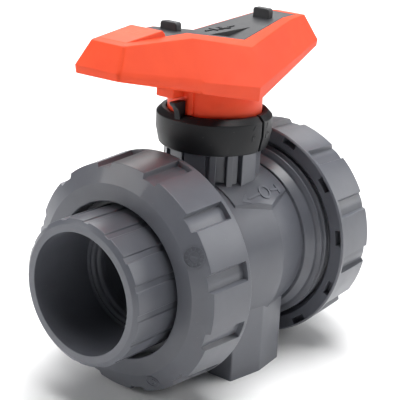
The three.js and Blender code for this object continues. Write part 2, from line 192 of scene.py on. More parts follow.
def plate(bm, outline, seat, rise, sunk=SUNK):
    """A flat shape that stands a little proud of the surface it is seated on."""
    verts = [bm.verts.new(seat @ Vector((x, y, -sunk))) for x, y in outline]
    base = bm.faces.new(verts)
    top = bmesh.ops.extrude_face_region(bm, geom=[base])["geom"]
    lift = (seat.to_3x3() @ Vector((0, 0, 1))) * (rise + sunk)
    bmesh.ops.translate(bm, verts=verts_of(top), vec=lift)


def bar(bm, seat, x, y, length, width, rise, turn=0.0):
    """A straight bar standing proud of the surface it is seated on."""
    spot = seat @ Matrix.Translation((x, y, 0)) @ Matrix.Rotation(math.radians(turn), 4, "Z")
    half, side = length / 2, width / 2
    plate(bm, [(-half, -side), (half, -side), (half, side), (-half, side)], spot, rise)


def hoop(bm, seat, x, y, radius, width, rise, steps=32, first=0.0, sweep=360.0):
    """A ring or an arc standing proud of the surface it is seated on."""
    spot = seat @ Matrix.Translation((x, y, 0)) @ Matrix.Rotation(math.radians(first), 4, "Z")
    inner, outer = radius - width / 2, radius + width / 2
    corners = [(inner, -SUNK), (outer, -SUNK), (outer, rise), (inner, rise)]
    verts = [bm.verts.new(spot @ Vector((r, 0, z))) for r, z in corners]
    edges = [bm.edges.new(pair) for pair in pairs(verts)]
    full = sweep >= 360
    faces = [] if full else [bm.faces.new(verts)]
    bmesh.ops.spin(
        bm, geom=verts + edges + faces, cent=spot.translation, axis=spot.to_3x3() @ Vector((0, 0, 1)),
        angle=math.radians(sweep), steps=steps, use_merge=full,
    )


def finished(name, bm, body, material, nodes, smooth=32.0):
    """Brings a piece to its place, shades it, and puts it on its body in place of its nodes."""
    clean(bm)
    place = Matrix.Translation((0, 0, AXIS_HEIGHT * MM)) @ Matrix.Scale(MM, 4)
    bmesh.ops.transform(bm, matrix=place, verts=bm.verts)
    for face in bm.faces:
        face.smooth = True
    for edge in bm.edges:
        edge.smooth = len(edge.link_faces) == 2 and edge.calc_face_angle() < math.radians(smooth)
    mesh = bpy.data.meshes.new(name)
    bm.to_mesh(mesh)
    bm.free()
    piece = bpy.data.objects.new(name, mesh)
    bpy.context.scene.collection.objects.link(piece)
    mesh.materials.append(material)
    shading = piece.modifiers.new("even shading", "WEIGHTED_NORMAL")
    shading.keep_sharp = True
    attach(piece, body)
    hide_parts(*nodes)
    return piece


# ---- Materials ----


def empty_material(name):
    """A new material, with its node tree empty."""
    material = bpy.data.materials.new(name)
    material.use_nodes = True
    tree = material.node_tree
    tree.nodes.clear()
    return material, tree.nodes, tree.links


def moulded_plastic(name, deep, pale, roughness, shine, grain, speck):
    """Injection-moulded plastic: faint flow clouds, a fine satin grain, shallow sink, pale dust, and sharp edges
    painted paler as a painted highlight with a little rub wear.
    """
    material, nodes, links = empty_material(name)

    output = nodes.new("ShaderNodeOutputMaterial")
    output.label = "finished surface"
    output.location = (1500, 0)
    shader = nodes.new("ShaderNodeBsdfPrincipled")
    shader.label = "satin moulded plastic"
    shader.location = (1180, 0)
    shader.inputs["IOR"].default_value = 1.53
    shader.inputs["Specular IOR Level"].default_value = shine
    links.new(shader.outputs["BSDF"], output.inputs["Surface"])

    place = nodes.new("ShaderNodeTexCoord")
    place.label = "place on the piece"
    place.location = (-900, 0)

    tint = nodes.new("NodeFrame")
    tint.label = "colour: flow clouds and dust"
    clouds = nodes.new("ShaderNodeTexNoise")
    clouds.label = "slow clouds of flowing plastic"
    clouds.inputs["Scale"].default_value = 38.0
    clouds.inputs["Detail"].default_value = 4.0
    clouds.inputs["Roughness"].default_value = 0.55
    clouds.inputs["Distortion"].default_value = 0.6
    links.new(place.outputs["Object"], clouds.inputs["Vector"])
    shade = nodes.new("ShaderNodeValToRGB")
    shade.label = "deep and pale of the colour"
    first, last = shade.color_ramp.elements
    first.position, first.color = 0.32, (*deep, 1)
    last.position, last.color = 0.7, (*pale, 1)
    links.new(clouds.outputs["Fac"], shade.inputs["Fac"])
    dust = nodes.new("ShaderNodeTexVoronoi")
    dust.label = "scattered dust"
    dust.inputs["Scale"].default_value = 230.0
    dust.inputs["Randomness"].default_value = 1.0
    links.new(place.outputs["Object"], dust.inputs["Vector"])
    mote = nodes.new("ShaderNodeMapRange")
    mote.label = "only the middle of a cell is a mote"
    mote.inputs["From Min"].default_value = 0.07
    mote.inputs["From Max"].default_value = 0.03
    mote.inputs["To Max"].default_value = speck
    links.new(dust.outputs["Distance"], mote.inputs["Value"])
    dusted = nodes.new("ShaderNodeMix")
    dusted.label = "plastic with dust on it"
    dusted.data_type = "RGBA"
    dusted.inputs["B"].default_value = (0.55, 0.55, 0.55, 1)
    links.new(mote.outputs["Result"], dusted.inputs["Factor"])
    links.new(shade.outputs["Color"], dusted.inputs["A"])
    for node, x, y in (
        (clouds, -560, 420), (shade, -320, 420), (dust, -560, 120),
        (mote, -320, 120), (dusted, -40, 340),
    ):
        node.location = (x, y)
        node.parent = tint

    # Painted highlight: the sharp edges, picked out by pointiness, are painted paler to stand in for the light
    # they catch, together with a little rub wear.
    edge_sheen = nodes.new("NodeFrame")
    edge_sheen.label = "colour: edges rubbed pale"
    edges = nodes.new("ShaderNodeNewGeometry")
    edges.label = "how far an edge stands out"
    highlit_and_rubbed = nodes.new("ShaderNodeMapRange")
    highlit_and_rubbed.label = "only the sharp edges"
    highlit_and_rubbed.inputs["From Min"].default_value = 0.53
    highlit_and_rubbed.inputs["From Max"].default_value = 0.66
    highlit_and_rubbed.inputs["To Max"].default_value = 0.35
    links.new(edges.outputs["Pointiness"], highlit_and_rubbed.inputs["Value"])
    colour = nodes.new("ShaderNodeMix")
    colour.label = "rubbed edges are paler"
    colour.data_type = "RGBA"
    colour.inputs["B"].default_value = (*[min(1.0, 1.35 * c + 0.02) for c in pale], 1)
    links.new(highlit_and_rubbed.outputs["Result"], colour.inputs["Factor"])
    links.new(dusted.outputs["Result"], colour.inputs["A"])
    links.new(colour.outputs["Result"], shader.inputs["Base Color"])
    for node, x, y in ((edges, 160, 620), (highlit_and_rubbed, 400, 620), (colour, 660, 420)):
        node.location = (x, y)
        node.parent = edge_sheen

    gloss = nodes.new("NodeFrame")
    gloss.label = "gloss: uneven satin"
    patches = nodes.new("ShaderNodeTexNoise")
    patches.label = "patches handled smoother"
    patches.inputs["Scale"].default_value = 90.0
    patches.inputs["Detail"].default_value = 5.0
    links.new(place.outputs["Object"], patches.inputs["Vector"])
    satin = nodes.new("ShaderNodeMapRange")
    satin.label = "range of the roughness"
    satin.inputs["To Min"].default_value = roughness - 0.06
    satin.inputs["To Max"].default_value = roughness + 0.07
    links.new(patches.outputs["Fac"], satin.inputs["Value"])
    links.new(satin.outputs["Result"], shader.inputs["Roughness"])
    for node, x, y in ((patches, 160, 60), (satin, 420, 60)):
        node.location = (x, y)
        node.parent = gloss

    relief = nodes.new("NodeFrame")
    relief.label = "relief: spark-eroded grain over shallow sink"
    sink = nodes.new("ShaderNodeTexNoise")
    sink.label = "shallow sink marks"
    sink.inputs["Scale"].default_value = 70.0
    sink.inputs["Detail"].default_value = 1.0
    links.new(place.outputs["Object"], sink.inputs["Vector"])
    waves = nodes.new("ShaderNodeBump")
    waves.label = "sink"
    waves.inputs["Strength"].default_value = 0.25
    waves.inputs["Distance"].default_value = 0.0002
    links.new(sink.outputs["Fac"], waves.inputs["Height"])
    spark = nodes.new("ShaderNodeTexNoise")
    spark.label = "grain of the tool"
    spark.inputs["Scale"].default_value = 2600.0
    spark.inputs["Detail"].default_value = 2.0
    links.new(place.outputs["Object"], spark.inputs["Vector"])
    fine = nodes.new("ShaderNodeBump")
    fine.label = "satin grain"
    fine.inputs["Strength"].default_value = grain
    fine.inputs["Distance"].default_value = 0.00004
    links.new(spark.outputs["Fac"], fine.inputs["Height"])
    links.new(waves.outputs["Normal"], fine.inputs["Normal"])
    links.new(fine.outputs["Normal"], shader.inputs["Normal"])
    for node, x, y in ((sink, 160, -260), (waves, 420, -260), (spark, 160, -560), (fine, 660, -360)):
        node.location = (x, y)
        node.parent = relief
    return material


def sealing_ring(name, deep, pale, roughness, bands):
    """Rubber or seat plastic: faint rings left by the lathe or the mould, over small mottling."""
    material, nodes, links = empty_material(name)

    output = nodes.new("ShaderNodeOutputMaterial")
    output.label = "finished surface"
    output.location = (1100, 0)
    shader = nodes.new("ShaderNodeBsdfPrincipled")
    shader.label = "soft sealing material"
    shader.location = (780, 0)
    shader.inputs["IOR"].default_value = 1.48
    links.new(shader.outputs["BSDF"], output.inputs["Surface"])
    place = nodes.new("ShaderNodeTexCoord")
    place.label = "place on the piece"
    place.location = (-700, 0)

    tint = nodes.new("NodeFrame")
    tint.label = "colour: mottling"
    mottle = nodes.new("ShaderNodeTexNoise")
    mottle.label = "small mottling"
    mottle.inputs["Scale"].default_value = 240.0
    mottle.inputs["Detail"].default_value = 4.0
    links.new(place.outputs["Object"], mottle.inputs["Vector"])
    shade = nodes.new("ShaderNodeValToRGB")
    shade.label = "deep and pale of the colour"
    first, last = shade.color_ramp.elements
    first.position, first.color = 0.35, (*deep, 1)
    last.position, last.color = 0.68, (*pale, 1)
    links.new(mottle.outputs["Fac"], shade.inputs["Fac"])
    links.new(shade.outputs["Color"], shader.inputs["Base Color"])
    for node, x, y in ((mottle, -400, 260), (shade, -140, 260)):
        node.location = (x, y)
        node.parent = tint

    relief = nodes.new("NodeFrame")
    relief.label = "relief and gloss: turning rings"
    rings = nodes.new("ShaderNodeTexWave")
    rings.label = "rings left by the tool"
    rings.wave_type = "RINGS"
    rings.rings_direction = "X"
    rings.inputs["Scale"].default_value = bands
    rings.inputs["Distortion"].default_value = 0.8
    rings.inputs["Detail"].default_value = 2.0
    links.new(place.outputs["Object"], rings.inputs["Vector"])
    satin = nodes.new("ShaderNodeMapRange")
    satin.label = "range of the roughness"
    satin.inputs["To Min"].default_value = roughness - 0.05
    satin.inputs["To Max"].default_value = roughness + 0.08
    links.new(rings.outputs["Fac"], satin.inputs["Value"])
    links.new(satin.outputs["Result"], shader.inputs["Roughness"])
    ridges = nodes.new("ShaderNodeBump")
    ridges.label = "height of the rings"
    ridges.inputs["Strength"].default_value = 0.2
    ridges.inputs["Distance"].default_value = 0.00005
    links.new(rings.outputs["Fac"], ridges.inputs["Height"])
    links.new(ridges.outputs["Normal"], shader.inputs["Normal"])
    for node, x, y in ((rings, -400, -120), (satin, -140, -60), (ridges, -140, -320)):
        node.location = (x, y)
        node.parent = relief
    return material


def turned_metal(name, deep, pale, roughness):
    """Metal off the lathe: fine tool lines and a little tarnish."""
    material, nodes, links = empty_material(name)

    output = nodes.new("ShaderNodeOutputMaterial")
    output.label = "finished surface"
    output.location = (1100, 0)
    shader = nodes.new("ShaderNodeBsdfPrincipled")
    shader.label = "turned metal"
    shader.location = (780, 0)
    shader.inputs["Metallic"].default_value = 1.0
    shader.inputs["Anisotropic"].default_value = 0.3
    links.new(shader.outputs["BSDF"], output.inputs["Surface"])
    place = nodes.new("ShaderNodeTexCoord")
    place.label = "place on the piece"
    place.location = (-700, 0)

    tint = nodes.new("NodeFrame")
    tint.label = "colour: tarnish"
    tarnish = nodes.new("ShaderNodeTexNoise")
    tarnish.label = "patches of tarnish"
    tarnish.inputs["Scale"].default_value = 320.0
    tarnish.inputs["Detail"].default_value = 6.0
    links.new(place.outputs["Object"], tarnish.inputs["Vector"])
    shade = nodes.new("ShaderNodeValToRGB")
    shade.label = "tarnished to bright"
    first, last = shade.color_ramp.elements
    first.position, first.color = 0.3, (*deep, 1)
    last.position, last.color = 0.62, (*pale, 1)
    links.new(tarnish.outputs["Fac"], shade.inputs["Fac"])
    links.new(shade.outputs["Color"], shader.inputs["Base Color"])
    for node, x, y in ((tarnish, -400, 260), (shade, -140, 260)):
        node.location = (x, y)
        node.parent = tint

    relief = nodes.new("NodeFrame")
    relief.label = "relief and gloss: tool lines"
    lines = nodes.new("ShaderNodeTexWave")
    lines.label = "lines of the tool"
    lines.wave_type = "RINGS"
    lines.rings_direction = "Z"
    lines.inputs["Scale"].default_value = 900.0
    lines.inputs["Distortion"].default_value = 1.2
    links.new(place.outputs["Object"], lines.inputs["Vector"])
    dull = nodes.new("ShaderNodeMapRange")
    dull.label = "range of the roughness"
    dull.inputs["To Min"].default_value = roughness - 0.07
    dull.inputs["To Max"].default_value = roughness + 0.1
    links.new(tarnish.outputs["Fac"], dull.inputs["Value"])
    links.new(dull.outputs["Result"], shader.inputs["Roughness"])
    cuts = nodes.new("ShaderNodeBump")
    cuts.label = "depth of the lines"
    cuts.inputs["Strength"].default_value = 0.3
    cuts.inputs["Distance"].default_value = 0.00003
    links.new(lines.outputs["Fac"], cuts.inputs["Height"])
    links.new(cuts.outputs["Normal"], shader.inputs["Normal"])
    for node, x, y in ((lines, -400, -120), (dull, -140, -60), (cuts, -140, -320)):
        node.location = (x, y)
        node.parent = relief
    return material


# Each: deep and pale colour, then the roughness, and for plastic its shine, grain and dust.
GREY = moulded_plastic("grey_plastic", (0.103, 0.108, 0.126), (0.122, 0.128, 0.148), 0.33, 0.45, 0.25, 0.1)
ORANGE = moulded_plastic("orange_plastic", (0.84, 0.064, 0.015), (0.9, 0.08, 0.02), 0.5, 0.25, 0.3, 0.04)
BLACK = moulded_plastic("black_plastic", (0.007, 0.0075, 0.009), (0.012, 0.013, 0.015), 0.42, 0.26, 0.35, 0.08)
KEY_BLACK = moulded_plastic(
    "satin_black_plastic", (0.016, 0.017, 0.02), (0.024, 0.025, 0.029), 0.5, 0.5, 0.35, 0.06)
SEAT = sealing_ring("seat_plastic", (0.74, 0.73, 0.69), (0.84, 0.83, 0.79), 0.35, 420.0)
RUBBER = sealing_ring("seal_rubber", (0.009, 0.009, 0.009), (0.017, 0.017, 0.017), 0.6, 260.0)
BRASS = turned_metal("brass", (0.42, 0.27, 0.1), (0.7, 0.49, 0.2), 0.32)
STEEL = turned_metal("stainless", (0.42, 0.43, 0.44), (0.62, 0.63, 0.64), 0.28)


# ---- Union ends and nuts ----


def grooved(side, land, groove, count, floor_half, wall, land_sweeps, ridge):
    """A turned piece with grooves along it: land and groove are its outlines on and between them."""
    bm = bmesh.new()
    verts = [bm.verts.new((side * along, -radius, 0)) for along, radius in land]
    moves = {(round(a[0], 3), round(a[1], 3)): b for a, b in zip(land, groove) if a != b}
    edges = [bm.edges.new(pair) for pair in pairs(verts)]
    strip = verts + edges
    sweeps = [(floor_half, 3), (wall, 1), *land_sweeps, (wall, 1), (floor_half, 3)]
    for sweep, steps in sweeps:
        strip = bmesh.ops.spin(
            bm, geom=strip, cent=(0, 0, 0), axis=(-1, 0, 0), angle=math.radians(sweep), steps=steps
        )["geom_last"]
    pitch = 360.0 / count
    for vert in bm.verts:
        angle = math.degrees(math.atan2(vert.co.z, -vert.co.y))
        off = min(abs(angle), abs(angle - pitch))
        if off > floor_half + wall / 3:
            continue
        radius = math.hypot(vert.co.y, vert.co.z)
        move = moves.get((round(side * vert.co.x, 3), round(radius, 3)))
        if move is not None:
            radius = move[1] + ridge * (1 - off / floor_half)
            turn = math.radians(angle)
            vert.co = (side * move[0], -radius * math.cos(turn), radius * math.sin(turn))
    return bm


def all_round(bm, count, phase):
    """Repeats one pitch all round the pipe axis, starting from a groove's middle."""
    bmesh.ops.rotate(
        bm, verts=bm.verts, cent=(0, 0, 0), matrix=Matrix.Rotation(math.radians(-phase), 3, "X")
    )
    bmesh.ops.spin(
        bm, geom=bm.verts[:] + bm.edges[:] + bm.faces[:], cent=(0, 0, 0), axis=(-1, 0, 0),
        angle=math.radians(360.0 - 360.0 / count), steps=count - 1, use_duplicate=True,
    )
    clean(bm)


def groove_floor(along):
    """Radius of the floor of a nut's groove."""
    return GROOVE_BACK_R - 0.8 * (along - GROOVE_END) / (NUT_EDGE - GROOVE_END)


def nut_outside(along):
    """Radius of the nut between its grooves, which tapers to the front."""
    return NUT_BACK_R - (NUT_BACK_R - NUT_EDGE_R) * (along - NUT_BACK) / (NUT_EDGE - NUT_BACK)


def on_slope(radius):
    """Where along the pipe the nut's sloping front has a radius."""
    return NUT_EDGE + (NUT_EDGE_R - radius) * (NUT_FACE - NUT_EDGE) / (NUT_EDGE_R - NUT_FACE_R)


def union_nut(name, side, phase, body):
    """A nut with grip grooves, a threaded skirt and a sloping front."""
    start = [
        (FLANGE_OUT + GAP, NUT_THREAD_R), (NUT_BACK + 2.3, NUT_THREAD_R), (NUT_BACK, 54.2),
        (NUT_BACK, POCKET_R[0]), (NUT_BACK, POCKET_R[1]),
        (NUT_BACK, NUT_BACK_R - 0.9), (NUT_BACK + 0.9, NUT_BACK_R),
    ]
    finish = [
        (NUT_FACE - 0.2, NUT_FACE_R), (NUT_FACE, NUT_MOUTH_R + 0.6), (NUT_FACE - 0.6, NUT_MOUTH_R),
        (FLANGE_OUT + GAP, NUT_MOUTH_R),
    ]
    rim = GROOVE_END - 0.4
    courses = (GROOVE_END, 57.0, 68.4)
    start.append((rim, nut_outside(rim)))
    land = [*start, *[(a, nut_outside(a)) for a in courses], (NUT_EDGE, NUT_EDGE_R), *finish]
    groove = [*start, *[(a, groove_floor(a)) for a in courses],
              (on_slope(GROOVE_FRONT_R), GROOVE_FRONT_R), *finish]
    bm = grooved(side, land, groove, NUT_GROOVES, 3.9, 0.85, [(6.05, 3), (8.4, 4), (6.05, 3)], 0.35)
    # One shallow pocket in the back, between two grooves.
    pocket = []
    for face in bm.faces:
        middle = face.calc_center_median()
        radius = math.hypot(middle.y, middle.z)
        angle = math.degrees(math.atan2(middle.z, -middle.y))
        in_back = abs(side * middle.x - NUT_BACK) < 0.01
        if in_back and POCKET_R[0] < radius < POCKET_R[1] and 10.8 < angle < 19.2:
            pocket.append(face)
    sunk = bmesh.ops.extrude_face_region(bm, geom=pocket)["geom"]
    bmesh.ops.delete(bm, geom=pocket, context="FACES")
    bmesh.ops.translate(bm, verts=verts_of(sunk), vec=(side * POCKET_DEPTH, 0, 0))
    all_round(bm, NUT_GROOVES, phase)
    soften(bm, 0.35, 2, 22.0)
    dial(bm, side, phase)
    return finished(name, bm, body, GREY, [name])


def dial(bm, side, phase):
    """A month dial and a cavity ring, moulded on the nut's sloping front."""
    slope = Vector((side * (NUT_EDGE_R - NUT_FACE_R), NUT_FACE - NUT_EDGE))
    for angle, radius, size in ((phase + 14.7, 55.2, 5.2), (phase - 75.3, 55.0, 3.6)):
        turn = math.radians(angle)
        outwards = Vector((0, -math.cos(turn), math.sin(turn)))
        normal = Vector((slope.x, 0, 0)) + outwards * slope.y
        round_about = Vector((1, 0, 0)).cross(outwards) * -side
        seat = facing(Vector((side * on_slope(radius), 0, 0)) + outwards * radius, round_about, normal)
        hoop(bm, seat, 0, 0, size, 0.45, 0.3)
        if size > 5:
            hoop(bm, seat, 0, 0, 2.7, 0.3, 0.3)
            for month in range(12):
                way = math.radians(30 * month)
                spot = (3.9 * math.cos(way), 3.9 * math.sin(way))
                bar(bm, seat, *spot, 1.3 if month % 3 else 1.7, 0.5, 0.35, 30 * month)
            bar(bm, seat, -0.3, -0.2, 2.6, 0.6, 0.35, 62)
            plate(bm, [(-0.3, 0.9), (1.4, 0.4), (0.9, 2.0)], seat, 0.35)
        else:
            hoop(bm, seat, 0, 0, 1.7, 0.5, 0.3, 20, 40, 280)


def union_end(name, side, body):
    """A socket for the pipe, with flutes outside, a flange and a groove for the face seal."""
    back = [
        (BODY_END + GAP, PASSAGE_R + 0.9), (BODY_END + GAP, 32.6),
        (56.9, 32.6), (56.9, 38.6), (BODY_END + GAP, 38.6), (BODY_END + GAP, FLANGE_R),
        (FLANGE_OUT, FLANGE_R),
    ]
    front = [
        (END_FACE, 35.7), (END_FACE, SOCKET_R + 0.35), (END_FACE - 2, SOCKET_R + 0.1),
        (END_FACE - SOCKET_DEPTH, SOCKET_R - 0.2), (END_FACE - SOCKET_DEPTH, 29.3),
        (62.0, 29.3), (62.0, 28.0), (61.2, 27.4), (59.6, 27.4), (59.6, 26.3), (58.6, PASSAGE_R + 0.5),
        (56.4, PASSAGE_R + 0.5), (56.4, PASSAGE_R + 1.4), (55.6, PASSAGE_R + 1.4),
    ]
    land = [*back, (FLANGE_OUT, END_R + 0.1), (82.0, END_R + 0.05), (END_FACE - 1.9, END_R), *front]
    groove = [*back, (FLANGE_OUT, END_R - 0.55), (82.0, END_R - 0.6), (END_FACE - 1.45, END_R - 0.6), *front]
    bm = grooved(side, land, groove, END_FLUTES, 2.3, 0.5, [(16.9, 7)], 0.0)
    all_round(bm, END_FLUTES, END_PHASE)
    soften(bm, 0.25, 2, 24.0)
    return finished(name, bm, body, GREY, [name])


for end, side, phase in (("front", -1, FRONT_PHASE), ("rear", 1, REAR_PHASE)):
    union_nut(f"union_nut_{end}", side, phase, f"{end}_nut")
    union_end(f"union_end_{end}", side, f"{end}_end")


# ---- Body ----


def thread_rings(side):
    """Outline of the rings that stand for the thread, out to the body's end."""
    points = []
    for turn in range(2):
        crest = FIRST_CREST + turn * THREAD_PITCH
        points += [(crest - 1.5, THREAD_ROOT_R), (crest - 0.5, THREAD_R), (crest + 0.5, THREAD_R),
                   (crest + 1.5, THREAD_ROOT_R)]
    last = FIRST_CREST + 2 * THREAD_PITCH
    points += [(last - 1.5, THREAD_ROOT_R), (last - 0.5, THREAD_R), (BODY_END - 1.5, THREAD_R),
               (BODY_END, THREAD_R - 1.5)]
    return [(side * along, radius) for along, radius in points]


def body_half(side):
    """Outline of the outside from the crown's edge to the body's end."""
    edge = [(CROWN_EDGE, CROWN_EDGE_R), (CROWN_EDGE, COLLAR_R), (SHOULDER, SHOULDER_R)]
    return [(side * along, radius) for along, radius in edge] + thread_rings(side)


def body_shell(bm):
    """The body's wall, round the ball's chamber and the bush."""
    outer = [*reversed(body_half(-1)), (CROWN_X, CROWN_R), *body_half(1)]
    inner = [(BODY_END, PASSAGE_R + 3), (CHAMBER_END, PASSAGE_R + 3), (CHAMBER_END, CHAMBER_R),
             (-CHAMBER_END, CHAMBER_R), (-CHAMBER_END, BUSH_R), (-BODY_END, BUSH_R)]
    turned(bm, outer + inner, "X", 144)
    clean(bm)
    soften(bm, 0.3, 2, 20.0)


def neck(bm):
    """A core round the stem, with upright lands on it and a spigot for the index ring on top."""
    turned_shell(bm, [
        (NECK_FOOT, TANG_ROOM_R), (NECK_FOOT, CORE_R), (NECK_TOP, CORE_R), (NECK_TOP, STEM_BORE_R),
        (TANG_ROOM_TOP, STEM_BORE_R), (TANG_ROOM_TOP, TANG_ROOM_R),
    ], 48)
    turned_shell(bm, [
        (NECK_TOP - 1, STEM_BORE_R), (NECK_TOP - 1, SPIGOT_R), (SPIGOT_TOP, SPIGOT_R), (SPIGOT_TOP, STEM_BORE_R),
    ], 64)
    for first, sweep, radius in NECK_LANDS:
        for half_turn in (0, 180):
            outline = [(NECK_FOOT, 21), (NECK_FOOT, radius), (NECK_TOP, radius), (NECK_TOP, 21)]
            turned_shell(bm, outline, 1, first + half_turn, sweep)


def turned_shell(bm, outline, steps, first=0.0, sweep=360.0):
    """Turns one shell about Z, and sinks its foot as deep into the body's wall as the wall is curved."""
    shell = bmesh.new()
    turned(shell, outline, "Z", steps, first, sweep)
    clean(shell)
    soften(shell, 0.3, 2, 30.0)
    for vert in shell.verts:
        if vert.co.z < WALL_R:
            vert.co.z = max(in_wall(vert.co.y), 26.0)
    copy_into(bm, shell)


def in_wall(y):
    """Height over the pipe axis of the middle of the body's wall."""
    return math.sqrt(WALL_R**2 - min(abs(y), 40.5) ** 2)


def emblem_pad(bm):
    """A raised pad over the crown, pointed at both sides, with a two-way flow arrow on each slope."""
    pad = bmesh.new()
    turned(pad, [
        (PAD_LEFT, 43), (PAD_LEFT, 46.1), (CROWN_X - 7, 49.4), (CROWN_X, 49.9), (CROWN_X + 7, 49.4),
        (PAD_RIGHT, 45), (PAD_RIGHT, 43),
    ], "X", 40, 36, 108)
    for y in (-1, 1):
        for x in (-1, 1):
            cut(pad, (CROWN_X, y * 38.4, 0), Vector((x * 8.0, y * 23.0, 0)).normalized(), clear=True)
            bmesh.ops.holes_fill(pad, edges=[edge for edge in pad.edges if edge.is_boundary])
    add_rounded(bm, pad, 0.35, 2, 30.0)
    for y in (-1, 1):
        angle = math.radians(49.0)
        out = Vector((0, y * math.cos(angle), math.sin(angle)))
        middle = out * 49.75 + Vector((CROWN_X, 0, 0))
        hoop(bm, facing(middle, (-y, 0, 0), out), 0, 0, 3.6, 1.1, 0.5, 32)
        for way in (-1, 1):
            side = way * -y
            spot = out * 48.0 + Vector((CROWN_X + side * 12, 0, 0))
            seat = facing(spot, (-y, 0, 0), out * 4.4 + Vector((side, 0, 0)))
            bar(bm, seat, way * -3.2, 0, 9.2, 1.2, 0.6)
            head = [(way * 5.4, 0), (way * 0.6, 3.0), (way * 0.6, -3.0)]
            plate(bm, head[::way], seat, 0.6)


def foot(bm):
    """The block under the body, with two blind holes for the screw inserts."""
    base = bmesh.new()
    outline = [(-FOOT_X, -FOOT_Y_END), (0, -FOOT_Y_MID), (FOOT_X, -FOOT_Y_END),
               (FOOT_X, FOOT_Y_END), (0, FOOT_Y_MID), (-FOOT_X, FOOT_Y_END)]
    sides = [base.verts.new((x, y, -AXIS_HEIGHT)) for x, y in outline]
    around = [base.edges.new(pair) for pair in pairs(sides)]
    walls = [(around, 43.0)]
    for y in (-INSERT_Y, INSERT_Y):
        spot = Matrix.Translation((0, y, -AXIS_HEIGHT))
        ring = bmesh.ops.create_circle(base, segments=40, radius=INSERT_R, matrix=spot)["verts"]
        rim = [edge for edge in base.edges if edge.verts[0] in ring and edge.verts[1] in ring]
        walls.append((rim, INSERT_DEPTH))
    bmesh.ops.triangle_fill(base, edges=base.edges[:], use_beauty=True)
    for edges, height in walls:
        made = bmesh.ops.extrude_edge_only(base, edges=edges)["geom"]
        bmesh.ops.translate(base, verts=verts_of(made), vec=(0, 0, height))
        rim = [item for item in made if isinstance(item, bmesh.types.BMEdge) and item.is_boundary]
        bmesh.ops.holes_fill(base, edges=rim)
    clean(base)
    soften(base, 0.8, 3, 15.0, foot_upright)
    # The top is cut into strips, so that it can follow the round wall.
    for y in range(-36, 37, 6):
        cut(base, (0, y, 0), (0, 1, 0))
    for vert in base.verts:
        if vert.co.z > -30:
            vert.co.z = -in_wall(vert.co.y)
    copy_into(bm, base)


def foot_upright(edge):
    """True for the upright edges of the foot."""
    return abs(edge.verts[0].co.z - edge.verts[1].co.z) > 40


def valve_body():
    """The body: its shell with the neck, the pad and the foot."""
    bm = bmesh.new()
    body_shell(bm)
    neck(bm)
    emblem_pad(bm)
    foot(bm)
    return finished("valve_body", bm, "body", GREY, ["valve_body"], 12.0)


valve_body()


# ---- Inside: ball, seats and screwed bush ----


def round_piece(name, outline, axis, steps, body, material, width=0.25):
    """A plain turned piece with rounded edges."""
    bm = bmesh.new()
    turned(bm, outline, axis, steps)
    clean(bm)
    soften(bm, width, 2, 40.0)
    return finished(name, bm, body, material, [name])


def ball():
    """The ball, with its bore along the pipe and a slot for the stem's tang."""
    reach = math.sqrt(BALL_R**2 - PASSAGE_R**2)
    arc = [
        (BALL_R * math.sin(math.radians(a)), BALL_R * math.cos(math.radians(a)))
        for a in range(-45, 46, 5)
    ]
    arc = [point for point in arc if abs(point[0]) < reach - 0.5]
    bm = bmesh.new()
    turned(bm, [(-reach, PASSAGE_R), *arc, (reach, PASSAGE_R)], "X", 96)
    slot_half, slot_floor = 4.4, 30.5
    for y in (-slot_half - 0.02, -slot_half, slot_half, slot_half + 0.02):
        cut(bm, (0, y, 0), (0, 1, 0))
    for vert in bm.verts:
        if abs(vert.co.y) <= slot_half + 0.001 and vert.co.z > slot_floor:
            vert.co.z = slot_floor
    return finished("ball", bm, "lever_set", GREY, ["ball"])


ball()
round_piece("union_bush", [
    (-BODY_END + GAP, 28), (-BODY_END + GAP, 40), (-41.6, 40), (-41.6, 38), (-38.4, 38), (-38.4, 40),
    (-CHAMBER_END - GAP, 40), (-CHAMBER_END - GAP, 28),
], "X", 96, "body", GREY)
for end, side in (("front", -1), ("rear", 1)):
    touch = [(side * a, math.sqrt(BALL_R**2 - a**2) + 2 * GAP) for a in (22.6, 24.0, 25.5, 27.0, 28.4)]
    round_piece(f"ball_seat_{end}", [
        *touch, (side * 30.4, PASSAGE_R + 0.5), (side * 30.4, 38.4), (side * 22.6, 38.4),
    ], "X", 96, "body", SEAT)
    nut_side = side * (BODY_END + GAP)
    round_piece(f"face_seal_{end}", [
        (nut_side, 34.4), (nut_side, 36.9), (side * 55.45, 38.1), (side * 56.6, 36.9),
        (side * 56.6, 34.4), (side * 55.45, 33.2),
    ], "X", 72, f"{end}_end", RUBBER, 0.4)
for side, name in ((-1, "foot_insert_left"), (1, "foot_insert_right")):
    bm = bmesh.new()
    low = -AXIS_HEIGHT
    ridges = [(low + 1.3 + 1.25 * k + d, 3.4 + r) for k in range(9) for d, r in ((0, 0), (0.6, 0.6))]
    sleeve = [(low + GAP, 4.4), (low + GAP, 5.6), (low + 14, 5.6), (low + 14, 3.6)]
    turned(bm, [*sleeve, *reversed(ridges)], "Z", 40)
    bmesh.ops.translate(bm, verts=bm.verts, vec=(0, side * INSERT_Y, 0))
    finished(name, bm, "body", BRASS, [name])


# ---- Index ring ----


def index_ring():
    """The split ring round the neck, with a post and two lock marks."""
    bm = bmesh.new()
    slit = [math.degrees(math.atan2(x, RING_R)) for x in (1, 3)]
    turned(bm, [
        (RING_BASE, RING_IN_R), (RING_BASE, RING_BASE_R - 0.6), (RING_BASE + 0.6, RING_BASE_R),
        (RING_TAPER, RING_R), (RING_SHOULDER, RING_R), (RING_TOP, RING_TOP_R), (RING_TOP, RING_IN_R),
    ], "Z", 128, 270 + slit[1], 360 - slit[1] + slit[0])
    clean(bm)
    soften(bm, 0.3, 2, 25.0)
    post(bm)
    for offset, is_open in ((-4.9, False), (6.6, True)):
        lock_mark(bm, offset, is_open)
    return finished("index_ring", bm, "body", BLACK, ["index_ring"])


